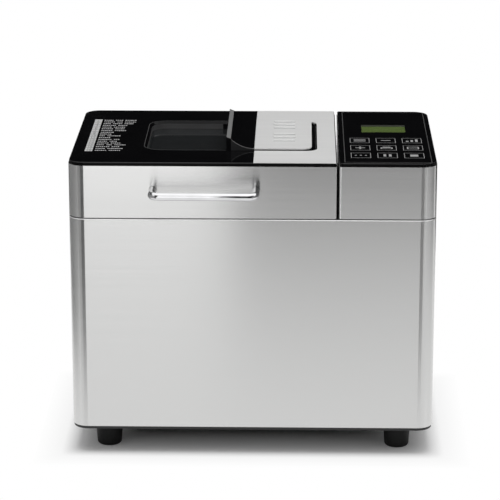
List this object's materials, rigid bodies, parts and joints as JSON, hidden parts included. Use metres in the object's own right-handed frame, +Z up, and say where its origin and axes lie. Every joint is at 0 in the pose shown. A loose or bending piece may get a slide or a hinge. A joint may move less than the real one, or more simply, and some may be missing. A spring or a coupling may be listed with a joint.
{
  "type": "bread machine",
  "caption": "Steel-clad bread machine with a hinged lid, viewing window, fruit dispenser, side control panel and a belt-driven kneading paddle in a lift-out pan.",
  "frame": {"origin": "on the table under the middle of the whole outline, handle and cord gland included", "axes": "+X to the machine's right as its front is faced, +Y to the back, +Z up"},
  "size_m": [0.365, 0.2658, 0.3197],
  "materials": {
    "brushed_steel": "horizontal brush grain",
    "black_plastic": "fine satin texture",
    "black_gloss": "polished",
    "silver_plate": "fine brushed",
    "chrome": "polished",
    "tinted_glass": "smoked",
    "lens": "olive tint",
    "foot_rubber": "matte",
    "oven_sheet": "aluminised sheet",
    "zinc_steel": "zinc plated",
    "non_stick": "satin non-stick coat",
    "element": "oxidised sheath",
    "sensor_metal": "plain",
    "bronze": "sintered",
    "shaft_steel": "ground",
    "belt_rubber": "matte ribbed",
    "pulley_plastic": "moulded",
    "lamination": "stacked laminations",
    "copper": "enamelled wire",
    "board": "solder mask",
    "seal_silicone": "soft satin",
    "dark_plastic": "satin",
    "screw_steel": "zinc plated"
  },
  "bodies": {
    "housing": {"feet": "foot_rubber", "base_tray": "black_plastic", "body_wrap": "brushed_steel", "rear_panel": "black_plastic", "cord_gland": "black_plastic", "case_screws": "screw_steel", "deck_frame": "black_plastic", "chassis_plate": "zinc_steel", "oven_chamber": "oven_sheet", "heating_element": "element", "temperature_sensor": "sensor_metal", "pan_clips": "zinc_steel", "bearing_housing": "lamination", "shaft_bushes": "bronze", "drive_belt": "belt_rubber", "pan_bush": "bronze", "bread_pan": "non_stick", "motor_core": "lamination", "motor_windings": "copper", "motor_brackets": "zinc_steel", "power_board": "board", "control_band": "brushed_steel", "control_frame": "black_gloss", "key_panel": "black_gloss", "display_lens": "lens", "display_module": "dark_plastic", "control_board": "board"},
    "lid": {"lid_band": "brushed_steel", "lid_frame": "black_plastic", "lid_seal": "seal_silicone", "lid_liner": "oven_sheet", "lid_top": "black_gloss", "lid_trim": "silver_plate", "lid_window": "tinted_glass", "lid_handle": "chrome", "hinge_pins": "shaft_steel", "dispenser_hopper": "dark_plastic", "release_solenoid": "zinc_steel", "cover_pin": "shaft_steel"},
    "dispenser_cover": {"dispenser_cover": "black_gloss", "cover_plate": "silver_plate"},
    "dispenser_flap": {"dispenser_flap": "dark_plastic"},
    "plunger": {"solenoid_plunger": "shaft_steel"},
    "drive": {"drive_shaft": "shaft_steel", "drive_pulley": "pulley_plastic", "drive_dog": "zinc_steel", "pan_shaft": "shaft_steel", "kneading_paddle": "non_stick"},
    "motor": {"motor_rotor": "shaft_steel", "motor_pulley": "pulley_plastic"},
    "pan_bail": {"pan_bail": "shaft_steel"},
    "key_1": {"key_1": "black_gloss"},
    "key_2": {"key_2": "black_gloss"},
    "key_3": {"key_3": "black_gloss"},
    "key_4": {"key_4": "black_gloss"},
    "key_5": {"key_5": "black_gloss"},
    "key_6": {"key_6": "black_gloss"},
    "key_7": {"key_7": "black_gloss"},
    "key_8": {"key_8": "black_gloss"},
    "key_9": {"key_9": "black_gloss"}
  },
  "joints": [
    {"name": "lid_hinge", "type": "hinge", "parent": "housing", "child": "lid", "pos_m": [-0.0495, 0.11793, 0.2564], "axis": [-1, 0, 0], "range_deg": [0, 80]},
    {"name": "dispenser_cover_hinge", "type": "hinge", "parent": "lid", "child": "dispenser_cover", "pos_m": [0.0613, 0.01142, 0.3036], "axis": [0, 1, 0], "range_deg": [0, 85]},
    {"name": "dispenser_flap_hinge", "type": "hinge", "parent": "lid", "child": "dispenser_flap", "pos_m": [-0.0094, 0.01443, 0.2705], "axis": [0, 1, 0], "range_deg": [0, 80]},
    {"name": "plunger_slide", "type": "slide", "parent": "lid", "child": "plunger", "axis": [1, 0, 0], "range_m": [0, 0.00771]},
    {"name": "drive_spin", "type": "hinge", "parent": "housing", "child": "drive", "pos_m": [-0.0495, 0.01093, 0.0395], "axis": [0, 0, 1], "continuous": true},
    {"name": "motor_spin", "type": "hinge", "parent": "housing", "child": "motor", "pos_m": [0.1325, 0.01093, 0.0395], "axis": [0, 0, 1], "continuous": true},
    {"name": "pan_bail_hinge", "type": "hinge", "parent": "housing", "child": "pan_bail", "pos_m": [-0.0495, 0.01093, 0.212], "axis": [-1, 0, 0], "range_deg": [0, 35]},
    {"name": "key_1_press", "type": "slide", "parent": "housing", "child": "key_1", "axis": [0, 0, -1], "range_m": [0, 0.0005], "stiffness_N_per_m": 800},
    {"name": "key_2_press", "type": "slide", "parent": "housing", "child": "key_2", "axis": [0, 0, -1], "range_m": [0, 0.0005], "stiffness_N_per_m": 800},
    {"name": "key_3_press", "type": "slide", "parent": "housing", "child": "key_3", "axis": [0, 0, -1], "range_m": [0, 0.0005], "stiffness_N_per_m": 800},
    {"name": "key_4_press", "type": "slide", "parent": "housing", "child": "key_4", "axis": [0, 0, -1], "range_m": [0, 0.0005], "stiffness_N_per_m": 800},
    {"name": "key_5_press", "type": "slide", "parent": "housing", "child": "key_5", "axis": [0, 0, -1], "range_m": [0, 0.0005], "stiffness_N_per_m": 800},
    {"name": "key_6_press", "type": "slide", "parent": "housing", "child": "key_6", "axis": [0, 0, -1], "range_m": [0, 0.0005], "stiffness_N_per_m": 800},
    {"name": "key_7_press", "type": "slide", "parent": "housing", "child": "key_7", "axis": [0, 0, -1], "range_m": [0, 0.0005], "stiffness_N_per_m": 800},
    {"name": "key_8_press", "type": "slide", "parent": "housing", "child": "key_8", "axis": [0, 0, -1], "range_m": [0, 0.0005], "stiffness_N_per_m": 800},
    {"name": "key_9_press", "type": "slide", "parent": "housing", "child": "key_9", "axis": [0, 0, -1], "range_m": [0, 0.0005], "stiffness_N_per_m": 800}
  ],
  "couplings": [
    {"joint": "plunger_slide", "follows": "dispenser_flap_hinge", "m_per_rad": 0.005524},
    {"joint": "motor_spin", "follows": "drive_spin", "ratio": 4}
  ]
}
